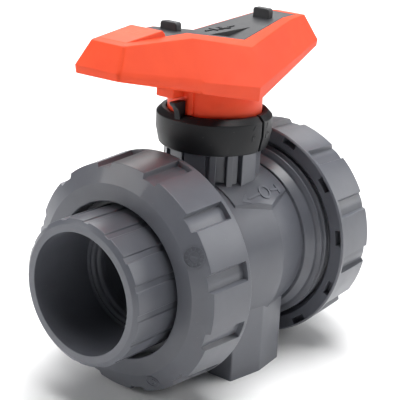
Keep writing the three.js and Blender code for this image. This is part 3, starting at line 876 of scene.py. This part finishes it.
def post(bm):
    """The thumb post beside the hub, bent outwards under the lever's lug."""
    arm = bmesh.new()
    outline = [(-26.3, 74), (-30.3, 74), (-30.4, 78), (-30.9, 80), (-31.6, 81.8), (-32.8, 83.4),
               (-34.2, 84.6), (-35.0, 85.5), (-35.2, 86.7), (-26.3, 86.7)]
    seat = facing((0, 2.4, 0), (1, 0, 0), (0, -1, 0))
    plate(arm, outline, seat, 3.8, 0.0)
    add_rounded(bm, arm, 0.35, 2, 40.0)


def lock_mark(bm, offset, is_open):
    """A slanted index line over a small padlock, shut or open, beside the ring's slit."""
    turn = math.radians(270 + math.degrees(offset / RING_R))
    out = Vector((math.cos(turn), math.sin(turn), 0))
    seat = facing(out * (RING_R - 0.05) + Vector((0, 0, 70)), (-out.y, out.x, 0), out)
    if is_open:
        plate(bm, [(-0.9, 2.6), (0.9, 2.6), (0.2, 5.2)], seat, 0.22, 0.5)
    else:
        bar(bm, seat, 0.2, 3.9, 3.2, 0.7, 0.22, 55)
    bar(bm, seat, 0, -1.9, 2.9, 1.9, 0.22)
    hoop(bm, seat, 1.5 if is_open else 0, -0.9, 0.95, 0.5, 0.22, 12, 0, 180)


index_ring()


# ---- Lever ----
# Half widths and heights of the lever's courses at its stations, from the left tip to the right.

STATIONS = ("left", "left_kink", "mid", "right_kink", "right")
FOOT_COURSE = {"left": (-92.2, 14.4, 107.9), "left_kink": (-40.6, 22.4, 96.3), "mid": (0, 28.9, 87.1),
               "right_kink": (45.6, 18.9, 97.5), "right": (75.6, 12.2, 104.4)}
BELT_COURSE = {"left": (-92.6, 14.7, 112.0), "left_kink": (-40.6, 22.9, 102.2), "mid": (0, 29.3, 94.5),
               "right_kink": (45.6, 19.2, 102.6), "right": (76.0, 12.5, 108.0)}
OUTER_COURSE = {"left": (-85.6, 11.1, 123.6), "left_kink": (-40.6, 15.5, 122.9), "mid": (0, 22.3, 114.5),
                "right_kink": (45.6, 12.9, 122.2), "right": (64.9, 9.6, 123.0)}
INNER_COURSE = {"left": (-82.0, 9.0, 124.9), "left_kink": (-39.8, 11.0, 125.0), "mid": (0, 17.0, 117.8),
                "right_kink": (43.0, 10.0, 123.7), "right": (57.6, 8.4, 123.7)}
RECESS = 3.6
WALL = 2.8


def course_points(course):
    """Round the lever: along its near side from left to right, and back along its far side."""
    near = [Vector((course[s][0], -course[s][1], course[s][2])) for s in STATIONS]
    far = [Vector((course[s][0], course[s][1], course[s][2])) for s in reversed(STATIONS)]
    return near + far


def rise(bm, loop, points):
    """Draws a closed loop of edges up to its next course."""
    made = bmesh.ops.extrude_edge_only(bm, edges=[edge_between(a, b) for a, b in pairs(loop)])["geom"]
    above = []
    for vert in loop:
        above.append(next(
            edge.other_vert(vert) for edge in vert.link_edges if edge.other_vert(vert) in made
        ))
    for vert, point in zip(above, points):
        vert.co = point
    return above


def edge_between(a, b):
    """The edge that joins two vertices."""
    return next(edge for edge in a.link_edges if edge.other_vert(a) == b)


def floor_height(x):
    """Height of the rim's inner edge at x: it climbs from the middle to both kinks, then runs level."""
    kink = INNER_COURSE["left_kink" if x < 0 else "right_kink"]
    valley = INNER_COURSE["mid"][2]
    return valley + (kink[2] - valley) * min(abs(x / kink[0]), 1.0)


def hollow_points():
    """The hollow's ceiling: the outer walls at that height, moved in by the wall's thickness."""
    points = []
    for belt, outer in zip(course_points(BELT_COURSE), course_points(OUTER_COURSE)):
        height = floor_height(belt.x) - RECESS - WALL
        point = belt.lerp(outer, (height - belt.z) / (outer.z - belt.z))
        points.append(moved_in(point))
    return points


def moved_in(point):
    """A point of the outer wall brought to the inner wall."""
    end = math.copysign(1.1 * WALL, point.x) if abs(point.x) > 60 else 0.0
    return point - Vector((end, math.copysign(1.1 * WALL, point.y), 0))


def roof(bm, loop, drop):
    """Closes a course with a roof that has a round hole over the screw; gives the hole's loop."""
    hole = []
    for step in range(24):
        way = math.radians(-90 - 15 * step)
        x, y = 7 * math.cos(way), 7 * math.sin(way)
        x = 0.0 if abs(x) < 1e-6 else x
        hole.append(bm.verts.new((x, y, floor_height(x) - drop)))
    near, far = loop[2], loop[7]
    bm.faces.new([near, loop[1], loop[8], far, *reversed(hole[:13])])
    bm.faces.new([near, hole[0], *reversed(hole[12:]), far, loop[6], loop[3]])
    bm.faces.new([loop[0], loop[1], loop[8], loop[9]])
    bm.faces.new([loop[3], loop[4], loop[5], loop[6]])
    return hole


def lever_shell():
    """The hollow lever: outside up to the rim, the recess for the key, and the inside."""
    bm = bmesh.new()
    foot = [bm.verts.new(p) for p in course_points(FOOT_COURSE)]
    for pair in pairs(foot):
        bm.edges.new(pair)
    loop = foot
    for course in (BELT_COURSE, OUTER_COURSE, INNER_COURSE):
        loop = rise(bm, loop, course_points(course))
    floor = rise(bm, loop, [p - Vector((0, 0, RECESS)) for p in course_points(INNER_COURSE)])
    mouth = roof(bm, floor, RECESS)
    inside = rise(bm, foot, [moved_in(p) for p in course_points(FOOT_COURSE)])
    ceiling = rise(bm, inside, hollow_points())
    throat = roof(bm, ceiling, RECESS + WALL)
    for a, b in zip(pairs(mouth), pairs(throat)):
        bm.faces.new((a[0], a[1], b[1], b[0]))
    bmesh.ops.triangulate(bm, faces=[f for f in bm.faces if len(f.verts) > 4])
    clean(bm)
    soften(bm, 3.2, 4, 20.0, lambda edge: outer_upright(edge) and edge.verts[0].co.x < -80)
    soften(bm, 0.6, 3, 19.0, outer_edge)
    return bm


def outer_upright(edge):
    """True for the edges that climb the outside of the lever."""
    a, b = (v.co for v in edge.verts)
    return abs(a.z - b.z) > 3 and outer_edge(edge)


def outer_edge(edge):
    """True for an edge of the outside and of the rim, above the foot."""
    for vert in edge.verts:
        x, y, z = vert.co
        if z < floor_height(x) - RECESS + 0.5 and abs(y) < half_width(x, z) - 1.2 and abs(x) < 90:
            return False
    return True


def half_width(x, z):
    """Half width of the lever's outside at x, at the height z."""
    for left, right in zip(STATIONS, STATIONS[1:]):
        if BELT_COURSE[left][0] <= x <= BELT_COURSE[right][0]:
            share = (x - BELT_COURSE[left][0]) / (BELT_COURSE[right][0] - BELT_COURSE[left][0])
            belt = Vector(BELT_COURSE[left]).lerp(Vector(BELT_COURSE[right]), share)
            outer = Vector(OUTER_COURSE[left]).lerp(Vector(OUTER_COURSE[right]), share)
            climb = max((z - belt.z) / (outer.z - belt.z), 0)
            return belt.y + climb * (outer.y - belt.y)
    return BELT_COURSE["left"][1]


def lever():
    """The lever with its hub, the ribs under its roof, the lug and the marked pad."""
    bm = lever_shell()
    hub(bm)
    for x, half in ((-74, 12), (-50, 15), (34, 15.5), (58, 12)):
        rib(bm, (x, x + 2.0), (-half, half))
    for side in (-1, 1):
        near, far = sorted((side * 6.2, side * 8.2))
        rib(bm, (-82, -16), (near, far))
        rib(bm, (16, 66), (near, far))
    lug(bm)
    pad(bm)
    return finished("lever", bm, "lever_set", ORANGE, ["lever"], 14.0)


def rib(bm, xs, ys):
    """A rib under the lever's roof, with its top buried in the roof's own thickness."""
    block = bmesh.new()
    plate(block, [(xs[0], ys[0]), (xs[1], ys[0]), (xs[1], ys[1]), (xs[0], ys[1])],
          Matrix.Translation((0, 0, 108)), 1, 0.0)
    for vert in block.verts:
        if vert.co.z > 108.5:
            vert.co.z = floor_height(vert.co.x) - RECESS - WALL / 2
    clean(block)
    copy_into(bm, block)


def hub(bm):
    """The round hub over the stem, with three upright ribs; its foot goes down into the index ring."""
    column = bmesh.new()
    turned(column, [
        (HUB_BASE, 9.5), (HUB_BASE, HUB_R - 0.8), (HUB_BASE + 0.8, HUB_R), (99, HUB_R), (101, 24.0),
        (110.4, 19.0), (110.4, 7.2), (100, 7.2), (100, 3.3), (96.5, 3.3), (96.5, 9.5),
    ], "Z", 128)
    for vert in column.verts:
        if vert.co.z > 110:
            vert.co.z = floor_height(vert.co.x) - RECESS - WALL / 2
    add_rounded(bm, column, 0.2, 2, 40.0)
    sweep = math.degrees(HUB_RIB_WIDTH / HUB_R)
    low, top, inner = RING_TOP + 0.5, 97, 24.2
    for angle in (189.5, 350, 99.5):
        strip = bmesh.new()
        outline = [(low, inner), (low, HUB_RIB_R), (top, HUB_RIB_R), (top, inner)]
        turned(strip, outline, "Z", 3, angle - sweep / 2, sweep)
        add_rounded(bm, strip, 0.25, 2, 40.0)


def lug(bm):
    """The stop under the lever's edge, above the index ring's post."""
    block = bmesh.new()
    plate(block, [(-34, 1), (-22, 1), (-22, 12.4), (-34, 12.4)], Matrix.Translation((0, 0, 88)), 12, 0.0)
    add_rounded(bm, block, 0.5, 3, 30.0)


def pad(bm):
    """The raised wedge on the left arm, with a quarter-turn arrow and plain bars on it."""
    wedge = bmesh.new()
    outline = [(-83.4, 121.0), (-55.4, 121.0), (-55.4, 126.0), (-57.4, 127.9), (-82.2, 124.9), (-83.4, 124.2)]
    seat = facing((0, 10.5, 0), (1, 0, 0), (0, -1, 0))
    plate(wedge, outline, seat, 21.0, 0.0)
    for vert in wedge.verts:
        narrowing = (vert.co.x + 55.4) / -28.0  # 0 at the wedge's high end, 1 at its low end
        vert.co.y *= 1 - 0.12 * narrowing
    add_rounded(bm, wedge, 0.5, 3, 30.0)
    slope = Vector((-3.0, 0, 25.0))
    seat = facing((-67, 0, 126.6), (0, -1, 0), slope)
    for row, length in ((3.4, 8.2), (1.2, 6.4), (-1.0, 7.4)):
        bar(bm, seat, 1.8, row, length, 0.85, 0.16)
    hoop(bm, seat, -5.0, -1.2, 2.5, 0.7, 0.16, 14, 0, 100)
    plate(bm, [(-3.6, -2.9), (-1.4, -1.2), (-4.0, -0.2)], seat, 0.16)


lever()


# ---- Key insert ----


def key_arm(end, kink, widths):
    """One arm of the key: a plate that lies in the lever's recess, out to its end."""
    bm = bmesh.new()
    outline = [(0, 17.0 - GAP), (kink, widths[0] - GAP), (end, widths[1] - GAP)]
    loop = [(x, -half) for x, half in outline] + [(x, half) for x, half in reversed(outline)]
    verts = [bm.verts.new((x, y, floor_height(x) - RECESS + GAP)) for x, y in loop]
    bm.faces.new([verts[0], verts[1], verts[4], verts[5]])
    bm.faces.new([verts[1], verts[2], verts[3], verts[4]])
    lifted = bmesh.ops.extrude_face_region(bm, geom=bm.faces[:])["geom"]
    bmesh.ops.translate(bm, verts=verts_of(lifted), vec=(0, 0, RECESS - 0.1 - GAP))
    return bm


def key_insert():
    """The key: two arms joined over the screw, with a platform and two finger tabs."""
    bm = key_arm(-54.8, -39.8, (11.0, 10.4))
    right = key_arm(57.3, 43.0, (10.0, 8.4))
    copy_into(bm, right)
    clean(bm)
    seam = [f for f in bm.faces if all(abs(v.co.x) < 0.01 for v in f.verts)]
    bmesh.ops.delete(bm, geom=seam, context="FACES")
    clean(bm)
    soften(bm, 0.3, 2, 30.0)
    platform(bm)
    for x, low, high in ((-39.2, 121.5, 129.1), (38.4, 120.5, 128.1)):
        tab(bm, x, low, high)
    return finished("key_insert", bm, "key", KEY_BLACK, ["key_insert"])


def platform(bm):
    """The level platform over the valley, with a valve sign on it."""
    block = bmesh.new()
    outline = [(-17.5, 119.4), (0, 115.5), (22, 119.0), (22.5, 120.5), (-18.5, 120.5)]
    plate(block, outline, facing((0, 7.4, 0), (1, 0, 0), (0, -1, 0)), 13.4, 0.0)
    add_rounded(bm, block, 0.3, 2, 15.0)
    seat = facing((1.5, 0.6, 120.5), (1, 0, 0), (0, 0, 1))
    for way in (-1, 1):
        wing = [(0, 0), (way * 5.4, -3.2), (way * 5.4, 3.2)]
        plate(bm, wing[::way], seat, 0.6)
        bar(bm, seat, way * 9.3, 0, 5.4, 0.9, 0.6)
    hoop(bm, seat, 0, 0, 1.9, 0.8, 0.75, 24)


def tab(bm, x, low, high):
    """A finger tab with round shoulders."""
    block = bmesh.new()
    outline = [(-5.3, low), (5.3, low), (5.3, high), (-5.3, high)]
    plate(block, outline, facing((x + 2.1, 0, 0), (0, -1, 0), (-1, 0, 0)), 4.2, 0.0)
    clean(block)

    def shoulder(edge):
        """True for the two upper edges that run through the tab."""
        a, b = (vert.co for vert in edge.verts)
        return min(a.z, b.z) > high - 0.1 and abs(a.x - b.x) > 1

    soften(block, 1.6, 5, 30.0, shoulder)
    soften(block, 0.45, 3, 25.0)
    copy_into(bm, block)


key_insert()


# ---- Nodes that keep their own shape ----

for name, material in (
    ("stem", GREY), ("stem_bearing_ring", SEAT), ("stem_seal_lower", RUBBER), ("stem_seal_upper", RUBBER),
    ("union_bush_seal", RUBBER), ("seat_backing_ring_front", RUBBER), ("seat_backing_ring_rear", RUBBER),
    ("lever_screw", STEEL),
):
    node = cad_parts[name]
    node.data.materials.clear()
    node.data.materials.append(material)


# ---- Floor, light and camera ----

FLOOR_SIZE = 3.2
floor_mesh = bpy.data.meshes.new("floor")
sheet = bmesh.new()
bmesh.ops.create_grid(sheet, x_segments=4, y_segments=4, size=FLOOR_SIZE)
sheet.to_mesh(floor_mesh)
sheet.free()
floor = bpy.data.objects.new("floor", floor_mesh)
bpy.context.scene.collection.objects.link(floor)
floor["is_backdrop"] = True
pale = bpy.data.materials.new("pale floor")
pale.use_nodes = True
paint = pale.node_tree.nodes["Principled BSDF"]
paint.label = "plain pale floor"
paint.inputs["Base Color"].default_value = (0.93, 0.93, 0.93, 1)
paint.inputs["Roughness"].default_value = 0.9
floor_mesh.materials.append(pale)

world = bpy.data.worlds.new("studio")
bpy.context.scene.world = world
world.use_nodes = True
tree = world.node_tree
tree.nodes.clear()
sky_out = tree.nodes.new("ShaderNodeOutputWorld")
sky_out.label = "studio"
sky_out.location = (500, 0)
seen = tree.nodes.new("ShaderNodeBackground")
seen.label = "white backdrop"
seen.location = (0, 140)
seen.inputs["Color"].default_value = (1, 1, 1, 1)
seen.inputs["Strength"].default_value = 1.0
fill = tree.nodes.new("ShaderNodeBackground")
fill.label = "soft fill light"
fill.location = (0, -60)
fill.inputs["Color"].default_value = (0.95, 0.97, 1, 1)
fill.inputs["Strength"].default_value = 0.06
ray = tree.nodes.new("ShaderNodeLightPath")
ray.label = "backdrop only where it is looked at"
ray.location = (0, 500)
either = tree.nodes.new("ShaderNodeMixShader")
either.label = "backdrop or fill"
either.location = (250, 0)
tree.links.new(ray.outputs["Is Camera Ray"], either.inputs["Fac"])
tree.links.new(fill.outputs["Background"], either.inputs[1])
tree.links.new(seen.outputs["Background"], either.inputs[2])
tree.links.new(either.outputs["Shader"], sky_out.inputs["Surface"])


def softbox(name, place, target, width, height, power):
    """A rectangular studio light turned towards a target."""
    light = bpy.data.lights.new(name, "AREA")
    light.shape = "RECTANGLE"
    light.size = width
    light.size_y = height
    light.energy = power
    lamp = bpy.data.objects.new(name, light)
    lamp.location = place
    lamp.rotation_euler = (Vector(target) - Vector(place)).to_track_quat("-Z", "Y").to_euler()
    bpy.context.scene.collection.objects.link(lamp)


MIDDLE = (0.0, 0.0, 0.09)
softbox("overhead", (0.1, -0.05, 1.6), MIDDLE, 1.1, 1.1, 34.0)
softbox("right_side", (1.35, -1.0, 0.75), MIDDLE, 0.9, 1.1, 12.0)
softbox("left_side", (-1.1, 0.95, 0.65), MIDDLE, 0.7, 0.7, 8.0)
softbox("backdrop", (1.7, 1.4, 1.7), (1.7, 1.4, 0.0), 2.4, 2.4, 70.0)

CAMERA_AZIMUTH = -51.783
CAMERA_ELEVATION = 18.453
CAMERA_ROLL = 2.94
CAMERA_DISTANCE = 0.677
CAMERA_AIM = Vector((0.00284, 0.00895, 0.08627))

azimuth, elevation = math.radians(CAMERA_AZIMUTH), math.radians(CAMERA_ELEVATION)
backwards = Vector((
    math.sin(azimuth) * math.cos(elevation), -math.cos(azimuth) * math.cos(elevation), math.sin(elevation),
))
lens = bpy.data.cameras.new("camera")
lens.sensor_width = 36.0
lens.lens = 109.834
lens.clip_end = 100.0
camera = bpy.data.objects.new("camera", lens)
camera.location = CAMERA_AIM + backwards * CAMERA_DISTANCE
level = backwards.to_track_quat("Z", "Y")
roll = Matrix.Rotation(math.radians(CAMERA_ROLL), 3, "Z").to_quaternion()
camera.rotation_euler = (level @ roll).to_euler()
bpy.context.scene.collection.objects.link(camera)
bpy.context.scene.camera = camera
bpy.context.scene.view_settings.view_transform = "Standard"

low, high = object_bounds()
